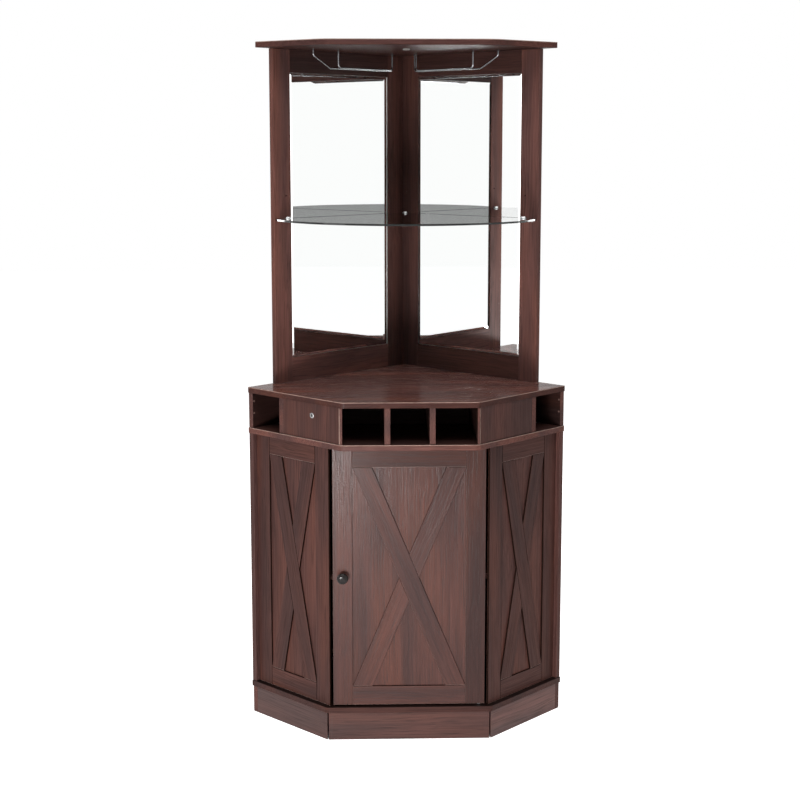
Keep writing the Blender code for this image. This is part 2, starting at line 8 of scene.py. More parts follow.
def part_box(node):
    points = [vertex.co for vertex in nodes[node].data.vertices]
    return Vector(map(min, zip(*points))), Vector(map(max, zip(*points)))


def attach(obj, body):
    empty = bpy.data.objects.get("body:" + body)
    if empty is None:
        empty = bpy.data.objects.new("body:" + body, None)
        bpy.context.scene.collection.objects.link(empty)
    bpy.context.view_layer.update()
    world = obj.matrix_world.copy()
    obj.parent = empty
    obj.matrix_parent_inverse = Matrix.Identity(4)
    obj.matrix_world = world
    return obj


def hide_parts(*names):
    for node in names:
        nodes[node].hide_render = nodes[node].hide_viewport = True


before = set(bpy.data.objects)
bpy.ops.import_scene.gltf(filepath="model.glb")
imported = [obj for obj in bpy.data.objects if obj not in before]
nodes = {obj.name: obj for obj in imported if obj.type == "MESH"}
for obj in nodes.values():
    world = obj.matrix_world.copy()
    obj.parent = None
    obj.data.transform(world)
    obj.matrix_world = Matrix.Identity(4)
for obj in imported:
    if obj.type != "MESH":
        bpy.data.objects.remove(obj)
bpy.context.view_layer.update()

scene = bpy.context.scene
root2 = math.sqrt(2)

plan = {"halfWidth": 0.420, "shiftY": -0.085788, "board": 0.015, "gap": 0.0003}
wallLength = plan["halfWidth"] * root2
gap = plan["gap"]


def wallPoint(side, s, t, z):  # s from the wall, t along it from its free corner
    x = side * (plan["halfWidth"] - (s + t) / root2)
    return Vector((x, (t - s) / root2 + plan["shiftY"], z))


def wallFrame(side, s, t, z):  # local x along the wall, y into the room, z up
    alongWall = Vector((-side, 1, 0)) / root2
    intoRoom = Vector((-side, -1, 0)) / root2
    turn = Matrix((alongWall, intoRoom, Vector((0, 0, 1)))).transposed().to_4x4()
    return Matrix.Translation(wallPoint(side, s, t, z)) @ turn


print("frame loaded:", len(nodes), "nodes")


# Node groups

def addSocket(group, name, kind, way="INPUT", value=None):
    socket = group.interface.new_socket(name, in_out=way, socket_type="NodeSocket" + kind)
    if value is not None:
        socket.default_value = value
    return socket


def mathNode(tree, operation, a, b=0.0):
    node = tree.nodes.new("ShaderNodeMath")
    node.operation = operation
    for slot, value in zip(node.inputs, (a, b)):
        if isinstance(value, (int, float)):
            slot.default_value = value
        else:
            tree.links.new(value, slot)
    return node.outputs[0]


def scaled(tree, vector, scale):
    node = tree.nodes.new("ShaderNodeVectorMath")
    node.operation = "MULTIPLY"
    tree.links.new(vector, node.inputs[0])
    node.inputs[1].default_value = scale
    return node.outputs[0]


def noiseOf(tree, vector, detail=2.0, rough=0.5, distortion=0.0):
    node = tree.nodes.new("ShaderNodeTexNoise")
    node.inputs["Scale"].default_value = 1.0
    node.inputs["Detail"].default_value = detail
    node.inputs["Roughness"].default_value = rough
    node.inputs["Distortion"].default_value = distortion
    tree.links.new(vector, node.inputs["Vector"])
    return node.outputs["Fac"]


def rampOf(tree, value, low, high):
    node = tree.nodes.new("ShaderNodeMapRange")
    node.interpolation_type = "SMOOTHSTEP"
    tree.links.new(value, node.inputs["Value"])
    node.inputs["From Min"].default_value = low
    node.inputs["From Max"].default_value = high
    return node.outputs["Result"]


def mixColour(tree, factor, a, b, blend="MIX"):
    node = tree.nodes.new("ShaderNodeMix")
    node.data_type = "RGBA"
    node.blend_type = blend
    for slot, value in ((node.inputs[0], factor), (node.inputs[6], a), (node.inputs[7], b)):
        if isinstance(value, (int, float, tuple)):
            slot.default_value = value
        else:
            tree.links.new(value, slot)
    return node.outputs[2]


def greyOf(tree, value):
    grey = tree.nodes.new("ShaderNodeCombineColor")
    for slot in grey.inputs[:3]:
        tree.links.new(value, slot)
    return grey.outputs[0]


laminateLook = {  # colours, then how much each layer of the grain counts
    "dark": (0.060, 0.0285, 0.0255, 1),
    "brown": (0.098, 0.0405, 0.0330, 1),
    "red": (0.128, 0.0470, 0.0330, 1),
    "pore": (0.024, 0.0120, 0.0105, 1),
    # pale colour of the painted arris highlight
    "highlightColour": (0.420, 0.290, 0.240, 1),
    "redShare": 0.55, "poreShare": 0.55, "streakShade": 0.36, "ribbonShade": 0.13, "lift": 1.12,
    "waves": (3.0, 9, 9), "waveReach": 0.026, "streakPolish": -0.08, "poreRough": 0.25,
    "streakHeight": 0.5, "poreDepth": 1.2, "bumpDepth": 0.00024, "bumpStrength": 0.6,
}
grainLayers = {  # stretch along and across the grain, detail, roughness, where the mask starts and is full
    "bands": ((2.0, 17, 17), 1.2, 0.50, 0.30, 0.70),
    "reds": ((1.6, 13, 13), 1.2, 0.50, 0.46, 0.72),
    "ribbons": ((2.2, 110, 110), 2.0, 0.50, 0.32, 0.68),
    "streaks": ((5.0, 320, 320), 2.0, 0.60, 0.34, 0.66),
    "pores": ((9, 380, 380), 2.0, 0.55, 0.54, 0.68),
}


def buildLaminateGroup():
    # Printed dark wood grain with fine embossed lines; the grain runs along the vector's x, in metres.
    look = laminateLook
    group = bpy.data.node_groups.new("laminateGrain", "ShaderNodeTree")
    addSocket(group, "Vector", "Vector")
    addSocket(group, "Seed", "Float", value=0.0)
    addSocket(group, "Tone", "Float", value=1.0)
    addSocket(group, "Satin", "Float", value=0.50)
    addSocket(group, "Highlight", "Float", value=0.0)
    addSocket(group, "Color", "Color", "OUTPUT")
    addSocket(group, "Roughness", "Float", "OUTPUT")
    addSocket(group, "Height", "Float", "OUTPUT")
    source = group.nodes.new("NodeGroupInput")
    result = group.nodes.new("NodeGroupOutput")

    shift = group.nodes.new("ShaderNodeCombineXYZ")
    group.links.new(source.outputs["Seed"], shift.inputs[0])
    group.links.new(mathNode(group, "MULTIPLY", source.outputs["Seed"], 0.731), shift.inputs[1])
    group.links.new(mathNode(group, "MULTIPLY", source.outputs["Seed"], 1.379), shift.inputs[2])
    placed = group.nodes.new("ShaderNodeVectorMath")
    group.links.new(source.outputs["Vector"], placed.inputs[0])
    group.links.new(shift.outputs[0], placed.inputs[1])

    wave = noiseOf(group, scaled(group, placed.outputs[0], look["waves"]), 2.0)
    wave = mathNode(group, "MULTIPLY", mathNode(group, "SUBTRACT", wave, 0.5), look["waveReach"])
    bend = group.nodes.new("ShaderNodeCombineXYZ")
    group.links.new(wave, bend.inputs[1])
    group.links.new(wave, bend.inputs[2])
    warped = group.nodes.new("ShaderNodeVectorMath")
    group.links.new(placed.outputs[0], warped.inputs[0])
    group.links.new(bend.outputs[0], warped.inputs[1])

    masks = {}
    for layer, (stretch, detail, rough, low, high) in grainLayers.items():
        pattern = noiseOf(group, scaled(group, warped.outputs[0], stretch), detail, rough)
        masks[layer] = rampOf(group, pattern, low, high)

    colour = mixColour(group, masks["bands"], look["dark"], look["brown"])
    reds = mathNode(group, "MULTIPLY", masks["reds"], look["redShare"])
    colour = mixColour(group, reds, colour, look["red"])
    streaks = mathNode(group, "SUBTRACT", masks["streaks"], 0.5)
    streaks = mathNode(group, "MULTIPLY", streaks, look["streakShade"])
    ribbons = mathNode(group, "SUBTRACT", masks["ribbons"], 0.5)
    ribbons = mathNode(group, "MULTIPLY", ribbons, look["ribbonShade"])
    shade = mathNode(group, "ADD", mathNode(group, "ADD", streaks, ribbons), look["lift"])
    shade = mathNode(group, "MULTIPLY", shade, source.outputs["Tone"])
    colour = mixColour(group, 1.0, colour, greyOf(group, shade), "MULTIPLY")
    marks = mathNode(group, "MULTIPLY", masks["pores"], look["poreShare"])
    colour = mixColour(group, marks, colour, look["pore"])
    # mixes in the painted arris highlight
    colour = mixColour(group, source.outputs["Highlight"], colour, look["highlightColour"])
    group.links.new(colour, result.inputs["Color"])

    polish = mathNode(group, "MULTIPLY", masks["streaks"], look["streakPolish"])
    rough = mathNode(group, "ADD", polish, source.outputs["Satin"])
    rough = mathNode(group, "ADD", rough, mathNode(group, "MULTIPLY", marks, look["poreRough"]))
    group.links.new(rough, result.inputs["Roughness"])
    ridges = mathNode(group, "MULTIPLY", masks["streaks"], look["streakHeight"])
    pits = mathNode(group, "MULTIPLY", marks, look["poreDepth"])
    group.links.new(mathNode(group, "SUBTRACT", ridges, pits), result.inputs["Height"])
    return group


handledLook = {
    "patches": (9, 9, 9), "patchShare": 0.75, "grit": (700, 700, 700), "gritShare": 0.35,
    "rough": 0.5, "dim": 0.30,
}


def buildHandledGroup():
    # Faint wipe marks and dust: a slow patchiness for the roughness and a small tint.
    look = handledLook
    group = bpy.data.node_groups.new("handledSurface", "ShaderNodeTree")
    addSocket(group, "Vector", "Vector")
    addSocket(group, "Base", "Color", value=(1, 1, 1, 1))
    addSocket(group, "Amount", "Float", value=0.1)
    addSocket(group, "Rough", "Float", value=0.1)
    addSocket(group, "Color", "Color", "OUTPUT")
    addSocket(group, "Roughness", "Float", "OUTPUT")
    source = group.nodes.new("NodeGroupInput")
    result = group.nodes.new("NodeGroupOutput")
    patches = noiseOf(group, scaled(group, source.outputs["Vector"], look["patches"]), 4.0, 0.6, 0.4)
    patches = mathNode(group, "MULTIPLY", patches, look["patchShare"])
    grit = noiseOf(group, scaled(group, source.outputs["Vector"], look["grit"]), 1.0)
    grit = mathNode(group, "MULTIPLY", rampOf(group, grit, 0.62, 0.80), look["gritShare"])
    marks = mathNode(group, "MULTIPLY", mathNode(group, "ADD", patches, grit), source.outputs["Amount"])
    rough = mathNode(group, "ADD", source.outputs["Rough"], mathNode(group, "MULTIPLY", marks, look["rough"]))
    group.links.new(rough, result.inputs["Roughness"])
    dim = mathNode(group, "SUBTRACT", 1.0, mathNode(group, "MULTIPLY", marks, look["dim"]))
    colour = mixColour(group, 1.0, source.outputs["Base"], greyOf(group, dim), "MULTIPLY")
    group.links.new(colour, result.inputs["Color"])
    return group


laminateGrain = buildLaminateGroup()
handledSurface = buildHandledGroup()
print("node groups built")


# Materials

def newMaterial(name):
    material = bpy.data.materials.new(name)
    material.use_nodes = True
    tree = material.node_tree
    shader = tree.nodes["Principled BSDF"]
    return material, tree, shader


def bumpInto(tree, shader, height, distance, strength=1.0):
    bump = tree.nodes.new("ShaderNodeBump")
    bump.inputs["Distance"].default_value = distance
    bump.inputs["Strength"].default_value = strength
    tree.links.new(height, bump.inputs["Height"])
    tree.links.new(bump.outputs[0], shader.inputs["Normal"])


grainTurns = {
    "upright": (0, math.pi / 2, 0),
    "across": (0, 0, 0),
    "risingRight": (0, 0, -math.pi / 4),  # along (1, 1)
    "fallingRight": (0, 0, math.pi / 4),  # along (1, -1)
    "deep": (0, 0, -math.pi / 2),
}


def facing(tree, axis):
    # The face's normal along one axis, by its number.
    face = tree.nodes.new("ShaderNodeTexCoord")
    parts = tree.nodes.new("ShaderNodeSeparateXYZ")
    tree.links.new(face.outputs["Normal"], parts.inputs[0])
    return parts.outputs[axis]


# widths, softness and patchiness of the painted arris highlight
arrisHighlightLook = {
    "coverWide": 0.0014, "boardTall": 0.0015, "soft": 0.0002,
    "patches": (60, 60, 60), "least": 0.55, "more": 0.35,
}


def paintedArrisHighlight(tree, highlightPlace):
    # Painted highlight: a thin paler line along an arris where light would catch it, patchy along its length
    # and on upright faces only, from one place on an axis to the next, in the object's coordinates.
    axis, first, last = highlightPlace
    where = tree.nodes.new("ShaderNodeTexCoord")
    parts = tree.nodes.new("ShaderNodeSeparateXYZ")
    tree.links.new(where.outputs["Object"], parts.inputs[0])
    soft = math.copysign(arrisHighlightLook["soft"], last - first)
    inside = rampOf(tree, parts.outputs[axis], first - soft, first)
    upright = rampOf(tree, mathNode(tree, "ABSOLUTE", facing(tree, 2)), 0.8, 0.4)
    highlightPatches = noiseOf(tree, scaled(tree, where.outputs["Object"], arrisHighlightLook["patches"]))
    highlightPatches = mathNode(tree, "MULTIPLY", rampOf(tree, highlightPatches, 0.30, 0.55), arrisHighlightLook["more"])
    highlightPatches = mathNode(tree, "ADD", highlightPatches, arrisHighlightLook["least"])
    return mathNode(tree, "MULTIPLY", mathNode(tree, "MULTIPLY", inside, upright), highlightPatches)


def laminate(name, direction, seed, tone, gloss, satin, uvName=None, paintedShade=None, highlightPlace=None):
    # The grain follows the piece's own uv map where one is named, else a direction in the object.
    material, tree, shader = newMaterial(name)
    if uvName:
        where = tree.nodes.new("ShaderNodeUVMap")
        where.uv_map = uvName
        vector = where.outputs[0]
    else:
        where = tree.nodes.new("ShaderNodeTexCoord")
        turn = tree.nodes.new("ShaderNodeMapping")
        turn.inputs["Rotation"].default_value = grainTurns[direction]
        tree.links.new(where.outputs["Object"], turn.inputs["Vector"])
        vector = turn.outputs[0]
    grain = tree.nodes.new("ShaderNodeGroup")
    grain.node_tree = laminateGrain
    grain.inputs["Seed"].default_value = seed
    grain.inputs["Tone"].default_value = tone
    # painted shade: the tone is lowered on faces by their normal
    if paintedShade:
        axis, low, high, amount = paintedShade
        mask = mathNode(tree, "MULTIPLY", rampOf(tree, facing(tree, axis), low, high), amount)
        light = mathNode(tree, "SUBTRACT", 1.0, mask)
        tree.links.new(mathNode(tree, "MULTIPLY", light, tone), grain.inputs["Tone"])
    grain.inputs["Satin"].default_value = satin
    # painted arris highlight
    if highlightPlace:
        tree.links.new(paintedArrisHighlight(tree, highlightPlace), grain.inputs["Highlight"])
    tree.links.new(vector, grain.inputs["Vector"])
    tree.links.new(grain.outputs["Color"], shader.inputs["Base Color"])
    tree.links.new(grain.outputs["Roughness"], shader.inputs["Roughness"])
    shader.inputs["Specular IOR Level"].default_value = gloss
    bumpInto(tree, shader, grain.outputs["Height"], laminateLook["bumpDepth"], laminateLook["bumpStrength"])
    return material


def addHandledMarks(tree, shader, base, amount, rough):
    where = tree.nodes.new("ShaderNodeTexCoord")
    marks = tree.nodes.new("ShaderNodeGroup")
    marks.node_tree = handledSurface
    marks.inputs["Base"].default_value = base
    marks.inputs["Amount"].default_value = amount
    marks.inputs["Rough"].default_value = rough
    tree.links.new(where.outputs["Object"], marks.inputs["Vector"])
    tree.links.new(marks.outputs["Color"], shader.inputs["Base Color"])
    tree.links.new(marks.outputs["Roughness"], shader.inputs["Roughness"])
    return where.outputs["Object"]


def handled(name, base, rough, metallic=0.0, amount=0.15, bump=None, gloss=0.5):
    # bump: noise per metre and depth in metres.
    material, tree, shader = newMaterial(name)
    place = addHandledMarks(tree, shader, base, amount, rough)
    shader.inputs["Metallic"].default_value = metallic
    shader.inputs["Specular IOR Level"].default_value = gloss
    if bump:
        size, depth = bump
        bumpInto(tree, shader, noiseOf(tree, scaled(tree, place, (size, size, size))), depth)
    return material


mirrorSilver = handled("mirrorSilver", (0.985, 0.992, 0.988, 1), 0.008, 1.0, 0.015)
mirrorTilt = 0.0257  # the silver reflects as if each plate were a degree and a half off square
tree = mirrorSilver.node_tree
surface = tree.nodes.new("ShaderNodeNewGeometry")
turned = tree.nodes.new("ShaderNodeVectorRotate")
turned.rotation_type = "Z_AXIS"
turned.inputs["Angle"].default_value = mirrorTilt
tree.links.new(surface.outputs["Normal"], turned.inputs["Vector"])
tree.links.new(turned.outputs[0], tree.nodes["Principled BSDF"].inputs["Normal"])
# pale ground glass edge, kept bright as a painted glint along the mirror's border
groundEdgeAndGlint = handled("mirrorGroundEdgePaintedGlint", (0.80, 0.83, 0.82, 1), 0.30, 0.0, 0.20)
mirrorDarkEdge = handled("mirrorEdgeDark", (0.012, 0.014, 0.013, 1), 0.35, 0.0, 0.20)
platedWire = handled("platedWire", (0.22, 0.22, 0.23, 1), 0.16, 1.0, 0.20)
satinPlate = handled("clipSatinPlate", (0.78, 0.78, 0.79, 1), 0.22, 1.0, 0.20)
zincSteel = handled("zincSteel", (0.60, 0.60, 0.61, 1), 0.34, 1.0, 0.40, (900, 0.00005))
knobLacquer = handled("knobLacquer", (0.012, 0.0095, 0.009, 1), 0.12, 0.0, 0.20, (1600, 0.00002), 0.16)
darkPlastic = handled("darkPlastic", (0.022, 0.021, 0.021, 1), 0.42, 0.0, 0.30, (2400, 0.00003))
palePlastic = handled("palePlastic", (0.20, 0.185, 0.175, 1), 0.45, 0.0, 0.15)
bezelChrome = handled("bezelChrome", (0.30, 0.29, 0.29, 1), 0.14, 1.0, 0.15)
capPlastic = handled("fastenerCap", (0.12, 0.07, 0.06, 1), 0.45, 0.0, 0.20, None, 0.20)
# plank sides near-black, partly their own dark edge and partly painted shade in the steps of the cross
plankDarkSideAndShade = handled("plankSideDarkPaintedShade", (0.010, 0.0040, 0.0025, 1), 0.70, 0.0, 0.30, (1200, 0.0001), 0.03)
# pale arris colour: a painted highlight
plankArrisPaintedHighlight = handled("plankArrisPaintedHighlight", (0.230, 0.155, 0.135, 1), 0.40, 0.0, 0.40, (900, 0.00005), 0.10)


def clearGlass(name, tint, rough, gloss=0.5):
    material, tree, shader = newMaterial(name)
    addHandledMarks(tree, shader, tint, 0.03, rough)
    shader.inputs["Transmission Weight"].default_value = 1.0
    shader.inputs["IOR"].default_value = 1.5
    shader.inputs["Specular IOR Level"].default_value = gloss
    return material


shelfGlass = clearGlass("shelfGlass", (0.90, 0.955, 0.935, 1), 0.0)
shelfGlassEdge = clearGlass("shelfGlassPolishedEdge", (0.035, 0.085, 0.075, 1), 0.08, 0.2)
lampLens = clearGlass("lampFrostedLens", (0.62, 0.62, 0.60, 1), 0.45)


fibreLook = {
    "dark": (0.24, 0.165, 0.105, 1), "pale": (0.40, 0.30, 0.205, 1), "cloud": (0.30, 0.215, 0.145, 1),
    "spots": (240, 240, 240), "clouds": (14, 14, 14), "cloudShare": 0.35,
    "rough": 0.62, "spotRough": 0.2, "bump": 0.0002,
}


def fibreboard():
    look = fibreLook
    material, tree, shader = newMaterial("bareFibreboard")
    where = tree.nodes.new("ShaderNodeTexCoord")
    spots = noiseOf(tree, scaled(tree, where.outputs["Object"], look["spots"]), 4.0, 0.7)
    clouds = noiseOf(tree, scaled(tree, where.outputs["Object"], look["clouds"]), 3.0)
    colour = mixColour(tree, spots, look["dark"], look["pale"])
    colour = mixColour(tree, mathNode(tree, "MULTIPLY", clouds, look["cloudShare"]), colour, look["cloud"])
    tree.links.new(colour, shader.inputs["Base Color"])
    rough = mathNode(tree, "ADD", mathNode(tree, "MULTIPLY", spots, look["spotRough"]), look["rough"])
    tree.links.new(rough, shader.inputs["Roughness"])
    bumpInto(tree, shader, spots, look["bump"])
    return material


backingBoard = fibreboard()

boards = {  # way of the grain, seed, tone; the tone is part the board's own, part painted shade and light: darker for the hutch's rear stiles, top rails and right bottom rail, the rack covers and the cubbies' back stop, lighter for the countertop
    "plinth_front": ("across", 11.3, 0.68),
    "plinth_facet_left": ("fallingRight", 4.2, 0.64),
    "plinth_facet_right": ("risingRight", 8.1, 1.05),
    "plinth_wall_left": ("risingRight", 2.7, 0.95),
    "plinth_wall_right": ("fallingRight", 6.6, 0.95),
    "bottom_board": ("across", 14.9, 0.52),
    "lower_wall_left": ("upright", 21.4, 0.95),
    "lower_wall_right": ("upright", 25.2, 0.95),
    "facet_board_left": ("upright", 31.7, 0.68),
    "facet_board_right": ("upright", 36.3, 0.80),
    "door_board": ("upright", 41.9, 0.72),
    "inner_shelf": ("across", 17.5, 1.0),
    "middle_board": ("across", 51.3, 1.05),
    "countertop": ("across", 55.8, 1.30),
    "rack_wall_left": ("risingRight", 61.1, 0.9),
    "rack_wall_right": ("fallingRight", 64.6, 0.9),
    "rack_side_divider_left": ("risingRight", 67.2, 0.85),
    "rack_side_divider_right": ("fallingRight", 71.9, 0.85),
    "rack_cover_left": ("upright", 74.3, 0.62),
    "rack_cover_right": ("upright", 78.8, 0.68),
    "rack_divider_1": ("deep", 81.2, 0.9),
    "rack_divider_2": ("deep", 84.7, 0.9),
    "rack_divider_3": ("deep", 87.5, 0.9),
    "rack_divider_4": ("deep", 91.4, 0.9),
    "rack_back_stop": ("across", 94.1, 0.3),
    "top_board": ("across", 97.6, 0.82),
    "hutch_front_stile_left": ("upright", 101.2, 1.0),
    "hutch_front_stile_right": ("upright", 105.5, 1.0),
    "hutch_rear_stile_left": ("upright", 109.9, 0.54),
    "hutch_rear_stile_right": ("upright", 113.1, 0.50),
    "hutch_top_rail_left": ("risingRight", 117.7, 0.40),
    "hutch_top_rail_right": ("fallingRight", 121.6, 0.40),
    "hutch_bottom_rail_left": ("risingRight", 125.8, 1.0),
    "hutch_bottom_rail_right": ("fallingRight", 129.4, 0.50),
}
usualGloss, usualSatin = 0.08, 0.50  # specular level and roughness
glosses = {
    "door_board": 0.18, "plinth_front": 0.20, "plinth_facet_left": 0.26, "plinth_facet_right": 0.26,
    "countertop": 0.035, "top_board": 0.03,
}
satins = {"countertop": 0.22, "top_board": 0.46, "door_board": 0.28}
# Painted shade: faces darkened by their normal where shade falls in recesses and under boards, and on the
# countertop's edges and underside: axis of the normal, where it starts and is full, how much darker.
paintedShadeFaces = {
    "bottom_board": (2, 0.3, 0.9, 0.84), "middle_board": (2, 0.3, 0.9, 0.60),
    "countertop": (2, 0.9, 0.3, 0.54), "top_board": (2, -0.3, -0.9, 0.58),
    "rack_wall_left": (0, 0.3, 0.6, 0.76), "rack_wall_right": (0, -0.3, -0.6, 0.76),
    "rack_side_divider_left": (1, 0.3, 0.6, 0.75), "rack_side_divider_right": (1, 0.3, 0.6, 0.75),
}
for number in (1, 2, 3, 4):
    paintedShadeFaces["rack_divider_%d" % number] = (1, -0.9, -0.4, 0.80)


def arrisHighlightPlace(node):
    # Where the painted highlight goes: the upper front arris of a board, or the inner end of a cover.
    places = [v.co for v in nodes[node].data.vertices]
    if node in ("countertop", "middle_board", "top_board"):
        top = max(co.z for co in places)
        return 2, top - arrisHighlightLook["boardTall"], top
    if node == "rack_cover_left":
        end = max(co.x for co in places)
        return 0, end - arrisHighlightLook["coverWide"], end
    if node == "rack_cover_right":
        end = min(co.x for co in places)
        return 0, end + arrisHighlightLook["coverWide"], end
    return None


for node, (direction, seed, tone) in boards.items():
    mesh = nodes[node].data
    mesh.materials.clear()
    mesh.materials.append(laminate(
        "laminate_" + node, direction, seed, tone,
        glosses.get(node, usualGloss), satins.get(node, usualSatin),
        paintedShade=paintedShadeFaces.get(node), highlightPlace=arrisHighlightPlace(node),
    ))

plainFinishes = {
    "mirror_left": mirrorSilver, "mirror_right": mirrorSilver,
    "mirror_back_left": backingBoard, "mirror_back_right": backingBoard,
    "hinge_pin_top": zincSteel, "hinge_pin_bottom": zincSteel, "door_strike": zincSteel,
    "door_catch": darkPlastic,
    "shelf_pin_left_1": zincSteel, "shelf_pin_left_2": zincSteel,
    "shelf_pin_right_1": zincSteel, "shelf_pin_right_2": zincSteel,
}
for node, material in plainFinishes.items():
    mesh = nodes[node].data
    mesh.materials.clear()
    mesh.materials.append(material)
print("board finishes set:", len(boards), "laminate,", len(plainFinishes), "other")


# Pieces

def addPiece(name, shape, materials, body="cabinet", replaced=(), sharp=35):
    mesh = bpy.data.meshes.new(name)
    shape.to_mesh(mesh)
    shape.free()
    for material in materials:
        mesh.materials.append(material)
    mesh.shade_smooth()
    mesh.set_sharp_from_angle(angle=math.radians(sharp))
    piece = bpy.data.objects.new(name, mesh)
    scene.collection.objects.link(piece)
    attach(piece, body)
    if replaced:
        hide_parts(*replaced)
    return piece


def turnedShape(profile, steps, place):
    # profile: (radius, height) with both ends on the axis, or with the first point again as the last.
    shape = bmesh.new()
    verts = [shape.verts.new((r, 0, z)) for r, z in profile]
    edges = [shape.edges.new(pair) for pair in zip(verts, verts[1:])]
    bmesh.ops.spin(
        shape, geom=verts + edges, cent=(0, 0, 0), axis=(0, 0, 1),
        angle=math.tau, steps=steps, use_merge=True,
    )
    bmesh.ops.remove_doubles(shape, verts=shape.verts, dist=1e-6)
    bmesh.ops.recalc_face_normals(shape, faces=shape.faces)
    bmesh.ops.transform(shape, matrix=place, verts=shape.verts)
    return shape


def mergeInto(target, part):
    mesh = bpy.data.meshes.new("part")
    part.to_mesh(mesh)
    part.free()
    target.from_mesh(mesh)
    bpy.data.meshes.remove(mesh)


def growFaces(shape, faces, reach):
    # Extrudes a face, or a ring of them, into a closed solid.
    grown = bmesh.ops.extrude_face_region(shape, geom=faces)
    moved = [g for g in grown["geom"] if isinstance(g, bmesh.types.BMVert)]
    bmesh.ops.translate(shape, verts=moved, vec=reach)
    bmesh.ops.recalc_face_normals(shape, faces=shape.faces)


def prismShape(outline, low, high, place):
    shape = bmesh.new()
    face = shape.faces.new([shape.verts.new((x, y, low)) for x, y in outline])
    growFaces(shape, [face], (0, 0, high - low))
    bmesh.ops.transform(shape, matrix=place, verts=shape.verts)
    return shape


def softenEdges(shape, width, segments=2, edges=None):
    chosen = edges
    if edges is None:
        chosen = [e for e in shape.edges if e.calc_face_angle(0) > math.radians(30)]
    bmesh.ops.bevel(
        shape, geom=chosen, offset=width, offset_type="OFFSET", segments=segments,
        profile=0.5, affect="EDGES", material=-1, clamp_overlap=True,
    )


# Framed crosses: every plank is its own piece of laminate with the grain along it.
crossFrames = {
    "frameWidth": 0.050, "strapWidth": 0.047, "thick": 0.004, "joint": 0.00012, "edgeRound": 0.0009,
    "facetInset": 0.015, "doorFace": 0.195, "doorOpening": 0.202,
    "seedStep": 1.7, "seedAcross": 0.37, "sharp": 12, "strapRounds": 10,
}
doorPlank = laminate("laminateDoorPlank", None, 0.0, 0.72, 0.18, 0.28, "grain")
# a darker copy of the door plank: painted shade on the door's right stile and top rail
doorShadedPlank = laminate("laminateDoorPlankPaintedShade", None, 5.3, 0.53, 0.16, 0.28, "grain")
facetPlank = laminate("laminateFacetPlank", None, 0.0, 0.62, usualGloss, usualSatin, "grain")


def arrisPaintedLight(normal, seenSide, finish):
    # Painted light by facing: arrises that face up, and those toward the seen side, take the near-black side
    # finish as painted shade; those that face down, and those to the left, take the painted highlight; the
    # rest the plank's own.
    if normal.z > 0.2 or normal.x * seenSide > 0.3:
        return 1
    return 2 if normal.z < -0.2 or normal.x < -0.6 else finish


def addPlank(target, uvLayerName, corners, along, finish, seenSide, seed, place, thick):
    # corners: (x, z) on the panel's face; the plank goes back from y = 0.
    joint = crossFrames["joint"]
    middle = Vector((sum(c[0] for c in corners), 0, sum(c[1] for c in corners))) / len(corners)
    shape = bmesh.new()
    verts = []
    for x, z in corners:
        point = Vector((x, 0, z))
        verts.append(shape.verts.new(point + (middle - point).normalized() * joint * root2))
    growFaces(shape, [shape.faces.new(verts)], (0, thick, 0))
    for f in shape.faces:
        f.material_index = finish if abs(f.normal.y) > 0.5 else 1
    frontEdges = [e for e in shape.edges if all(v.co.y < thick / 2 for v in e.verts)]
    softenEdges(shape, crossFrames["edgeRound"], 2, frontEdges)
    for f in shape.faces:
        if 0.05 < abs(f.normal.y) < 0.99:
            f.material_index = arrisPaintedLight(f.normal, seenSide, finish)
    layer = shape.loops.layers.uv.new(uvLayerName)
    direction = Vector((along[0], 0, along[1])).normalized()
    across = Vector((-direction.z, 0, direction.x))
    for f in shape.faces:
        for loop in f.loops:
            co = loop.vert.co
            acrossShift = co.y + seed * crossFrames["seedAcross"]
            loop[layer].uv = (co.dot(direction) + seed, co.dot(across) + acrossShift)
    bmesh.ops.transform(shape, matrix=place, verts=shape.verts)
    mergeInto(target, shape)


def rectangle(left, right, low, high):
    return (left, low), (right, low), (right, high), (left, high)


def addCrossFrame(name, width, height, place, seed, body, node, plank, shadedPlank, seenSide=0):
    frameWidth = crossFrames["frameWidth"]
    w, h = width - 2 * frameWidth, height - 2 * frameWidth
    across = crossFrames["strapWidth"]  # the strap's width along the opening's top, closer each round
    for _ in range(crossFrames["strapRounds"]):
        across = crossFrames["strapWidth"] * math.hypot(w - across, h) / h
    meet = h / 2 - h * (w / 2 - across) / (w - across)
    halfW, halfH = width / 2, height / 2
    x, z = w / 2, h / 2
    planks = (  # corners, direction of the grain, finish: 0 the usual plank, 3 its darker copy as painted shade
        (rectangle(-halfW, -x, -halfH, halfH), (0, 1), 0),
        (rectangle(x, halfW, -halfH, halfH), (0, 1), 3),
        (rectangle(-x, x, z, halfH), (1, 0), 3),
        (rectangle(-x, x, -halfH, -z), (1, 0), 0),
        (((-x, z), (x - across, -z), (x, -z), (across - x, z)), (w - across, -h), 0),
        (((x - across, z), (0, meet), (across / 2, 0), (x, z)), (w - across, h), 0),
        (((-x, -z), (across - x, -z), (0, -meet), (-across / 2, 0)), (w - across, h), 0),
    )
    shape = bmesh.new()
    for number, (corners, along, finish) in enumerate(planks):
        plankSeed = seed + crossFrames["seedStep"] * number
        addPlank(shape, "grain", corners, along, finish, seenSide, plankSeed, place, crossFrames["thick"])
    materials = [plank, plankDarkSideAndShade, plankArrisPaintedHighlight, shadedPlank]
    return addPiece(name, shape, materials, body, [node], crossFrames["sharp"])


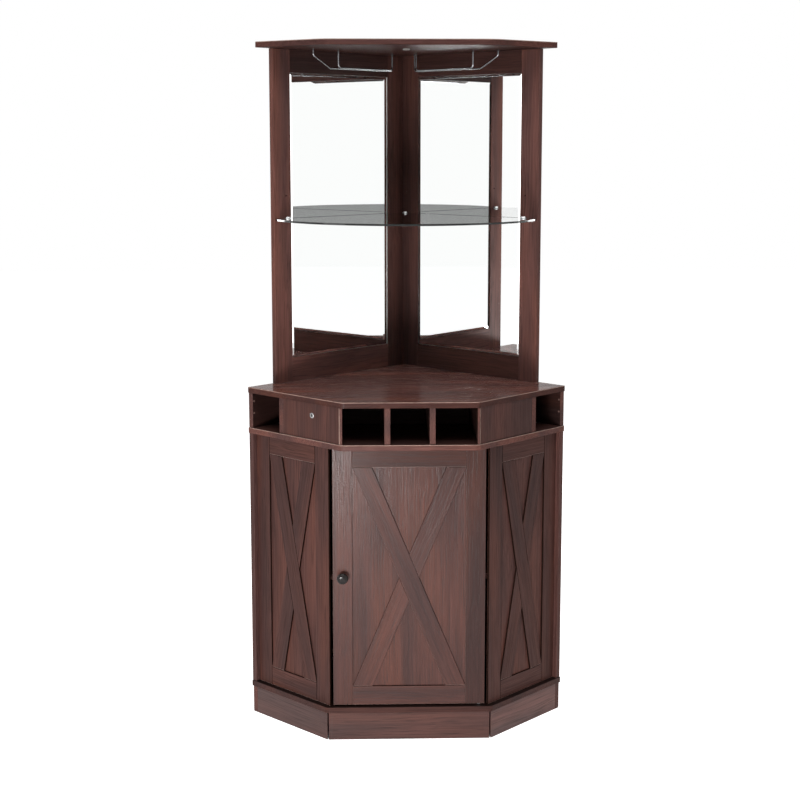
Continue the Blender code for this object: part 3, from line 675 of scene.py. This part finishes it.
doorLow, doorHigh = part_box("door_board")
doorPlace = Matrix.Translation((0, plan["shiftY"] - crossFrames["doorFace"], (doorLow.z + doorHigh.z) / 2))
addCrossFrame(
    "door_planks", doorHigh.x - doorLow.x, doorHigh.z - doorLow.z, doorPlace, 3.0,
    "door", "door_trim", doorPlank, doorShadedPlank,
)
facetLow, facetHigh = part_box("facet_trim_left")
start = plan["board"] + gap
end = (plan["halfWidth"] - crossFrames["doorOpening"]) * root2
end -= crossFrames["facetInset"] + crossFrames["thick"]
for side, word, seed in ((-1, "left", 23.0), (1, "right", 47.0)):
    middle = wallPoint(side, (start + end) / 2, crossFrames["facetInset"], (facetLow.z + facetHigh.z) / 2)
    place = Matrix.Translation(middle) @ Matrix.Rotation(side * math.pi / 4, 4, "Z")
    addCrossFrame(
        "facet_planks_" + word, end - start, facetHigh.z - facetLow.z, place, seed,
        "cabinet", "facet_trim_" + word, facetPlank, facetPlank, -side,
    )
print("cross frames planked")


# Glass shelf: fine arch, polished edges a little rounded.
glassShelf = {
    "thick": 0.005, "top": 1.3335, "front": 0.215, "wallGap": 0.018, "tip": 0.0891, "steps": 150,
    "edgeRound": 0.0006, "sharp": 15,
}
tip = wallPoint(1, glassShelf["wallGap"], glassShelf["tip"], 0)
tipX, tipY = tip.x, tip.y - plan["shiftY"]
rise = tipY + glassShelf["front"]
archRadius = (tipX ** 2 + rise ** 2) / (2 * rise)
archReach = math.asin(tipX / archRadius)
outline = [(0, plan["halfWidth"] - root2 * glassShelf["wallGap"])]
for k in range(glassShelf["steps"] + 1):
    a = archReach * (1 - 2 * k / glassShelf["steps"])
    outline.append((archRadius * math.sin(a), archRadius - glassShelf["front"] - archRadius * math.cos(a)))
shelfPlace = Matrix.Translation((0, plan["shiftY"], 0))
shape = prismShape(outline, glassShelf["top"] - glassShelf["thick"], glassShelf["top"], shelfPlace)
rims = [e for e in shape.edges if abs(e.verts[0].co.z - e.verts[1].co.z) < 1e-5]
softenEdges(shape, glassShelf["edgeRound"], 2, rims)
for f in shape.faces:
    f.material_index = 0 if abs(f.normal.z) > 0.95 else 1
addPiece(
    "shelf_glass_plate", shape, [shelfGlass, shelfGlassEdge],
    replaced=["glass_shelf"], sharp=glassShelf["sharp"],
)

# Mirrors: the ground border of the glass shows as a thin pale line, its colour partly the ground glass and
# partly a painted glint, and one upright as a dark one.
hutchWall = {"opening": 0.1476, "rearStile": 0.075, "rebate": 0.0108}
mirrorEdge = {"wide": 0.0022, "tall": 0.0011, "round": 0.0004}
for side, word in ((-1, "left"), (1, "right")):
    low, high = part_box("mirror_" + word)
    near, far = hutchWall["opening"] + gap, wallLength - hutchWall["rearStile"] - gap
    place = wallFrame(side, hutchWall["rebate"], 0, 0)
    shape = bmesh.new()
    face = shape.faces.new([shape.verts.new((t, 0, z)) for t, z in rectangle(near, far, low.z, high.z)])
    bmesh.ops.inset_region(
        shape, faces=[face], thickness=mirrorEdge["wide"], use_boundary=True, use_even_offset=True,
    )
    bmesh.ops.delete(shape, geom=[face], context="FACES_ONLY")
    growFaces(shape, shape.faces[:], (0, mirrorEdge["tall"], 0))
    raised = [e for e in shape.edges if all(v.co.y > mirrorEdge["tall"] / 2 for v in e.verts)]
    softenEdges(shape, mirrorEdge["round"], 2, [e for e in raised if e.calc_face_angle(0) > 1])
    # one upright of each ring is near-black: the front one on the left mirror, the rear one on the right
    darkFrom = near + mirrorEdge["wide"] * 1.2 if side < 0 else far - mirrorEdge["wide"] * 1.2
    for f in shape.faces:
        t = f.calc_center_median().x
        f.material_index = 1 if (t - darkFrom) * side > 0 else 0
    bmesh.ops.transform(shape, matrix=place, verts=shape.verts)
    addPiece("mirror_edge_" + word, shape, [groundEdgeAndGlint, mirrorDarkEdge])

# Shelf clips: a rounded block with two jaws, a thin pad in the slot and a grub screw underneath.
clip = {
    "wide": 0.016, "reach": 0.013, "tall": 0.014, "nose": 0.00585, "noseSteps": 8, "round": 0.0007,
    "along": 0.130, "cornerOffset": 0.016, "jawGap": 0.0002,
    "webDeep": 0.0024, "webInset": 0.0006, "webLap": 0.001, "grubPlace": 0.55,
}
grubProfile = (
    (0.0012, 0.0006), (0.0022, 0.0006), (0.0022, -0.0008),
    (0.0019, -0.0011), (0.0012, -0.0011), (0.0012, 0.0006),
)
glassMiddle = glassShelf["top"] - glassShelf["thick"] / 2


def clipOutline():
    half, nose, reach = clip["wide"] / 2, clip["nose"], clip["reach"]
    points = [(-half, gap), (half, gap)]
    for centre, first in ((half - nose, 0), (nose - half, math.pi / 2)):
        for k in range(clip["noseSteps"] + 1):
            a = first + math.pi / 2 * k / clip["noseSteps"]
            points.append((centre + nose * math.cos(a), reach - nose + nose * math.sin(a)))
    return points


for name, side, t in (
    ("shelf_clip_left", -1, clip["along"]), ("shelf_clip_right", 1, clip["along"]),
    ("shelf_clip_corner", 1, wallLength - plan["board"] - clip["cornerOffset"]),
):
    place = wallFrame(side, plan["board"], t, glassMiddle)
    half, slot = clip["tall"] / 2, glassShelf["thick"] / 2 + clip["jawGap"]
    shape = bmesh.new()
    for low, high in ((-half, -slot), (slot, half)):
        jaw = prismShape(clipOutline(), low, high, place)
        softenEdges(jaw, clip["round"], 3)
        mergeInto(shape, jaw)
    webWide, webTall = clip["wide"] / 2 - clip["webInset"], slot + clip["webLap"]
    mergeInto(shape, prismShape(rectangle(-webWide, webWide, gap, clip["webDeep"]), -webTall, webTall, place))
    grubSpot = Matrix.Translation((0, clip["reach"] * clip["grubPlace"], -half))
    mergeInto(shape, turnedShape(grubProfile, 24, place @ grubSpot))
    addPiece(name + "_block", shape, [satinPlate], replaced=[name])
print("glass shelf and clips made")


# Wire racks
wireRack = {
    "radius": 0.002, "bend": 0.010, "bendSteps": 10, "drop": 0.047, "near": 0.057, "far": 0.097,
    "fromCorner": 0.100, "farFromCorner": 0.1437, "front": 0.254, "ramp": 0.193, "rampDrop": 0.016,
    "farLeg": 0.246, "inBoard": 0.006, "crossRadius": 0.0017, "sharp": 50,
}


def roundedPath(points):
    # Every inner corner becomes an arc of the wire's bend.
    radius, steps = wireRack["bend"], wireRack["bendSteps"]
    path = [points[0]]
    for before, here, after in zip(points, points[1:], points[2:]):
        a, b = (before - here).normalized(), (after - here).normalized()
        half = a.angle(b) / 2
        centre = here + (a + b).normalized() * radius / math.sin(half)
        first = here + a * radius / math.tan(half) - centre
        last = here + b * radius / math.tan(half) - centre
        path += [centre + first.slerp(last, k / steps) * radius for k in range(steps + 1)]
    return path + [points[-1]]


def wireShape(points, radius):
    curve = bpy.data.curves.new("wirePath", "CURVE")
    curve.dimensions = "3D"
    curve.bevel_depth = radius
    curve.bevel_resolution = 6
    curve.use_fill_caps = True
    spline = curve.splines.new("POLY")
    spline.points.add(len(points) - 1)
    for point, co in zip(spline.points, points):
        point.co = (*co, 1)
    draft = bpy.data.objects.new("wirePath", curve)
    scene.collection.objects.link(draft)
    graph = bpy.context.evaluated_depsgraph_get()
    mesh = bpy.data.meshes.new_from_object(draft.evaluated_get(graph))
    shape = bmesh.new()
    shape.from_mesh(mesh)
    bmesh.ops.remove_doubles(shape, verts=shape.verts, dist=1e-6)
    bpy.data.objects.remove(draft)
    bpy.data.curves.remove(curve)
    bpy.data.meshes.remove(mesh)
    return shape


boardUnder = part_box("top_board")[0].z
railZ = boardUnder - wireRack["drop"]
wireTop = boardUnder + wireRack["inBoard"]
back = wallLength - wireRack["fromCorner"]
farBack = wallLength - wireRack["farFromCorner"]
for side, word in ((-1, "left"), (1, "right")):
    near, far = wireRack["near"], wireRack["far"]
    nearPath = [
        wallPoint(side, near, wireRack["ramp"], wireTop),
        wallPoint(side, near, wireRack["ramp"], boardUnder - wireRack["rampDrop"]),
        wallPoint(side, near, wireRack["front"], railZ),
        wallPoint(side, near, back, railZ), wallPoint(side, near, back, wireTop),
    ]
    farPath = [
        wallPoint(side, far, wireRack["farLeg"], wireTop), wallPoint(side, far, wireRack["farLeg"], railZ),
        wallPoint(side, far, farBack, railZ), wallPoint(side, far, farBack, wireTop),
    ]
    crossZ = railZ + wireRack["bend"] + wireRack["radius"]
    crossPath = [wallPoint(side, near, back, crossZ), wallPoint(side, far, farBack, crossZ)]
    shape = wireShape(roundedPath(nearPath), wireRack["radius"])
    mergeInto(shape, wireShape(roundedPath(farPath), wireRack["radius"]))
    mergeInto(shape, wireShape(crossPath, wireRack["crossRadius"]))
    addPiece(
        "stem_rack_" + word, shape, [platedWire],
        replaced=["glass_rack_" + word], sharp=wireRack["sharp"],
    )
print("wire racks made")


# Door knob
knob = {"radius": 0.0145, "length": 0.026, "stud": 0.002, "studLength": 0.0196, "steps": 72}
knobLow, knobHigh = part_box("door_knob")
knobAt = (knobLow + knobHigh) / 2
knobAt.y = plan["shiftY"] - crossFrames["doorFace"] - gap
knobCurve = (  # radius and height, as shares of the knob's own
    (0.43, 0.0), (0.44, 0.05), (0.38, 0.10), (0.31, 0.17), (0.285, 0.26), (0.29, 0.36), (0.34, 0.43),
    (0.48, 0.485), (0.68, 0.525), (0.86, 0.58), (0.965, 0.645), (1.0, 0.715), (0.985, 0.79), (0.925, 0.86),
    (0.81, 0.92), (0.64, 0.963), (0.43, 0.99), (0.21, 0.999), (0.0, 1.0),
)
profile = [(0.0, -knob["studLength"]), (knob["stud"], -knob["studLength"]), (knob["stud"], 0.0)]
profile += [(r * knob["radius"], h * knob["length"]) for r, h in knobCurve]
outward = Matrix.Translation(knobAt) @ Matrix.Rotation(math.pi / 2, 4, "X")
shape = turnedShape(profile, knob["steps"], outward)
addPiece("door_knob_turned", shape, [knobLacquer], "door", ["door_knob"])

# Push switch
switch = {
    "fromWall": 0.243, "face": 0.003, "drop": 0.031, "flange": 0.0071, "flangeThick": 0.0012,
    "body": 0.0065, "bodyLength": 0.022, "boreDeep": 0.0118, "boreGap": 0.0003,
    "button": 0.0031, "buttonLength": 0.010, "proud": 0.0010,
}
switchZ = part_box("countertop")[0].z - switch["drop"]
switchAt = wallPoint(-1, switch["fromWall"], switch["face"], switchZ)
outwardTurn = Vector((-1, -1, 0)).to_track_quat("Z", "Y").to_matrix().to_4x4()
switchPlace = Matrix.Translation(switchAt) @ outwardTurn
flange, bore, face = switch["flange"], switch["button"] + switch["boreGap"], switch["flangeThick"] + gap
shape = turnedShape(
    [
        (0.0, -switch["boreDeep"]), (bore, -switch["boreDeep"]),
        (bore, face - 0.0003), (bore + 0.0004, face), (bore + 0.0012, face), (bore + 0.0016, face - 0.0002),
        (flange - 0.0016, face - 0.0002), (flange - 0.0008, face - 0.0003), (flange - 0.0002, face - 0.0007),
        (flange, gap + 0.0002), (flange - 0.0001, gap), (switch["body"], gap),
        (switch["body"], -switch["bodyLength"]), (0.0, -switch["bodyLength"]),
    ],
    64, switchPlace,
)
addPiece("switch_bezel_ring", shape, [bezelChrome], replaced=["switch_bezel"])
front, radius = face + switch["proud"], switch["button"]
buttonBack = front - switch["buttonLength"]
shape = turnedShape(
    [
        (0.0, buttonBack), (radius, buttonBack), (radius, front - 0.0008), (radius - 0.0002, front - 0.0003),
        (radius - 0.0006, front), (radius - 0.0012, front - 0.0001), (0.0, front - 0.00045),
    ],
    48, switchPlace,
)
addPiece("switch_button_cap", shape, [darkPlastic], "switch_button", ["switch_button"])

# Lamp: pale rim with a frosted lens.
lamp = {"radius": 0.009, "tall": 0.004, "fromCentre": 0.064, "lens": 0.0066}
lampSpot = Matrix.Translation((0, lamp["fromCentre"] + plan["shiftY"], boardUnder - gap))
lampPlace = lampSpot @ Matrix.Rotation(math.pi, 4, "X")
r, tall, lens = lamp["radius"], lamp["tall"], lamp["lens"]
lensEdge = lens - 0.0002
shape = turnedShape(
    [
        (0, 0), (r, 0), (r, tall * 0.5), (r - 0.0004, tall * 0.75), (r - 0.0011, tall * 0.93),
        (lens + 0.0006, tall), (lens, tall * 0.92), (lens, tall * 0.62), (0, tall * 0.62),
    ],
    64, lampPlace,
)
addPiece("lamp_rim", shape, [palePlastic], replaced=["spot_lamp"])
shape = turnedShape(
    [
        (0, tall * 0.64), (lensEdge, tall * 0.64), (lensEdge, tall * 0.82),
        (lens * 0.7, tall * 0.92), (lens * 0.35, tall * 0.97), (0, tall * 0.985),
    ],
    64, lampPlace,
)
addPiece("lamp_lens", shape, [lampLens])
print("knob, switch and lamp made")


# Small fasteners
fasteners = {
    "capRadius": 0.0026, "capThick": 0.0006, "capSunk": 0.002, "capAlong": 0.0075, "capDrops": (0.022, 0.054),
    "screwRadius": 0.0034, "screwDome": 0.0012, "screwSunk": 0.003, "screwMargin": 0.02, "steps": 28,
}


def capShape(place):
    radius, thick, sunk = fasteners["capRadius"], fasteners["capThick"], fasteners["capSunk"]
    profile = [
        (0, -sunk), (radius * 0.8, -sunk), (radius * 0.8, 0), (radius, 0),
        (radius, thick * 0.5), (radius * 0.85, thick), (0, thick),
    ]
    return turnedShape(profile, fasteners["steps"], place)


def screwShape(place):
    # A domed head with a raised cross.
    radius, dome, sunk = fasteners["screwRadius"], fasteners["screwDome"], fasteners["screwSunk"]
    profile = [
        (0, -sunk), (radius * 0.5, -sunk), (radius * 0.5, 0), (radius, 0),
        (radius, dome * 0.25), (radius * 0.8, dome * 0.7), (radius * 0.45, dome), (0, dome),
    ]
    shape = turnedShape(profile, fasteners["steps"], place)
    for turn in (0, math.pi / 2):
        bar = bmesh.new()
        size = Matrix.Diagonal((radius * 1.1, radius * 0.20, dome * 0.5, 1))
        lift = Matrix.Translation((0, 0, dome * 0.80))
        bmesh.ops.create_cube(bar, size=1, matrix=place @ lift @ Matrix.Rotation(turn, 4, "Z") @ size)
        mergeInto(shape, bar)
    return shape


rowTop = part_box("countertop")[0].z
shape = bmesh.new()
for side in (-1, 1):
    for drop in fasteners["capDrops"]:
        place = wallFrame(side, plan["board"], fasteners["capAlong"], rowTop - drop)
        mergeInto(shape, capShape(place @ Matrix.Rotation(-math.pi / 2, 4, "X")))
addPiece("cubby_fastener_caps", shape, [capPlastic])

shape = bmesh.new()
low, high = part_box("mirror_back_left")
margin = fasteners["screwMargin"]
near, far = hutchWall["opening"] + margin, wallLength - hutchWall["rearStile"] - margin
spots = [(near + (far - near) * k / 3, z) for k in range(4) for z in (low.z + margin, high.z - margin)]
spots += [(t, low.z + (high.z - low.z) * k / 4) for t in (near, far) for k in (1, 2, 3)]
for side in (-1, 1):
    for t, z in spots:
        place = wallFrame(side, 0.0, t, z) @ Matrix.Rotation(math.pi / 2, 4, "X")
        place = place @ Matrix.Translation((0, 0, -fasteners["screwDome"]))
        mergeInto(shape, screwShape(place))
addPiece("mirror_back_screws", shape, [zincSteel])
print("fasteners made")


# Stage, light and camera
stage = {
    "floorSize": 14.0, "floorColour": 0.90, "floorRough": 0.9, "floorGlow": 0.93,
    "plinthFront": 0.205, "glowSoft": 0.012,
    "worldLight": 0.10, "deepDim": 0.80, "deepFrom": 2.5,
}


def seenRays(tree, path):
    # 1 for rays that come from the camera straight, or by way of metal or glass, and else 0.
    mirrored = mathNode(tree, "MAXIMUM", path.outputs["Is Glossy Ray"], path.outputs["Is Transmission Ray"])
    return mathNode(tree, "MAXIMUM", path.outputs["Is Camera Ray"], mirrored)


shape = bmesh.new()
bmesh.ops.create_grid(shape, x_segments=1, y_segments=1, size=stage["floorSize"])
mesh = bpy.data.meshes.new("floor")
shape.to_mesh(mesh)
shape.free()
floor = bpy.data.objects.new("floor", mesh)
scene.collection.objects.link(floor)
floorMaterial, tree, shader = newMaterial("studioFloor")
shader.inputs["Base Color"].default_value = (stage["floorColour"],) * 3 + (1,)
shader.inputs["Roughness"].default_value = stage["floorRough"]
shader.inputs["Specular IOR Level"].default_value = 0.0
seen = seenRays(tree, tree.nodes.new("ShaderNodeLightPath"))
shader.inputs["Emission Color"].default_value = (1, 1, 1, 1)
where = tree.nodes.new("ShaderNodeTexCoord")
place = tree.nodes.new("ShaderNodeSeparateXYZ")  # no glow under the plinth
tree.links.new(where.outputs["Object"], place.inputs[0])
wide = mathNode(tree, "ABSOLUTE", place.outputs[0])
deep = mathNode(tree, "SUBTRACT", place.outputs[1], plan["shiftY"])
fromCentre = mathNode(tree, "ADD", wide, mathNode(tree, "ABSOLUTE", deep))
outside = mathNode(tree, "SUBTRACT", fromCentre, plan["halfWidth"])
outside = mathNode(tree, "MAXIMUM", outside, mathNode(tree, "SUBTRACT", -stage["plinthFront"], deep))
unshaded = rampOf(tree, outside, -stage["glowSoft"], 0.0)
glow = mathNode(tree, "MULTIPLY", mathNode(tree, "MULTIPLY", seen, unshaded), stage["floorGlow"])
tree.links.new(glow, shader.inputs["Emission Strength"])
mesh.materials.append(floorMaterial)

world = bpy.data.worlds.new("studio")
scene.world = world
world.use_nodes = True
tree = world.node_tree
background = tree.nodes["Background"]
background.inputs["Color"].default_value = (1, 1, 1, 1)
path = tree.nodes.new("ShaderNodeLightPath")
seen = seenRays(tree, path)
# Glass in front of both mirrors shows a dimmer room.
deepLook = mathNode(tree, "GREATER_THAN", path.outputs["Glossy Depth"], stage["deepFrom"])
deepLevel = mathNode(tree, "SUBTRACT", 1.0, mathNode(tree, "MULTIPLY", deepLook, stage["deepDim"]))
seen = mathNode(tree, "MULTIPLY", seen, deepLevel)
level = mathNode(tree, "MULTIPLY", seen, 1.0 - stage["worldLight"])
level = mathNode(tree, "ADD", level, stage["worldLight"])
tree.links.new(level, background.inputs["Strength"])

lights = {
    "steepFront": {"at": (0.0, -2.1, 3.9), "to": (0.0, 0.0, 0.8), "size": (2.0, 1.2), "watts": 72},
    "lowFront": {"at": (-1.05, -3.7, 0.20), "to": (0.0, 0.0, 0.5), "size": (1.5, 0.32), "watts": 46},
    "doorSheen": {"at": (-0.60, -2.1, 0.36), "to": (-0.2, 0.0, 0.6), "size": (0.36, 0.30), "watts": 25},
    "sideLeft": {"at": (-3.03, -1.60, 1.55), "to": (0.0, 0.0, 0.9), "size": (1.3, 2.2), "watts": 16},
    "sideRight": {"at": (3.03, -1.60, 1.55), "to": (0.0, 0.0, 0.9), "size": (1.3, 2.2), "watts": 8},
    "backLeft": {"at": (-2.4, 2.6, 1.8), "to": (0.0, 0.0, 0.9), "size": (1.6, 1.8), "watts": 70},
    "backRight": {"at": (2.4, 2.6, 1.8), "to": (0.0, 0.0, 0.9), "size": (1.6, 1.8), "watts": 60},
}
for name, light in lights.items():
    data = bpy.data.lights.new(name, "AREA")
    data.shape = "RECTANGLE"
    data.size, data.size_y = light["size"]
    data.energy = light["watts"]
    lampObject = bpy.data.objects.new(name, data)
    lampObject.location = light["at"]
    direction = Vector(light["to"]) - Vector(light["at"])
    lampObject.rotation_euler = direction.to_track_quat("-Z", "Y").to_euler()
    scene.collection.objects.link(lampObject)

view = {"lens": 66.41, "at": (-0.125, -3.8547, 1.5282), "yaw": 0.0277, "pitch": 0.1425, "shiftY": -0.055}
cameraData = bpy.data.cameras.new("camera")
cameraData.sensor_width = 36
cameraData.lens = view["lens"]
cameraData.shift_y = view["shiftY"]
camera = bpy.data.objects.new("camera", cameraData)
camera.location = (view["at"][0], view["at"][1] + plan["shiftY"], view["at"][2])
camera.rotation_euler = (math.pi / 2 - view["pitch"], 0, -view["yaw"])
scene.collection.objects.link(camera)
scene.camera = camera
scene.view_settings.view_transform = "Standard"
print("stage, lights and camera set")
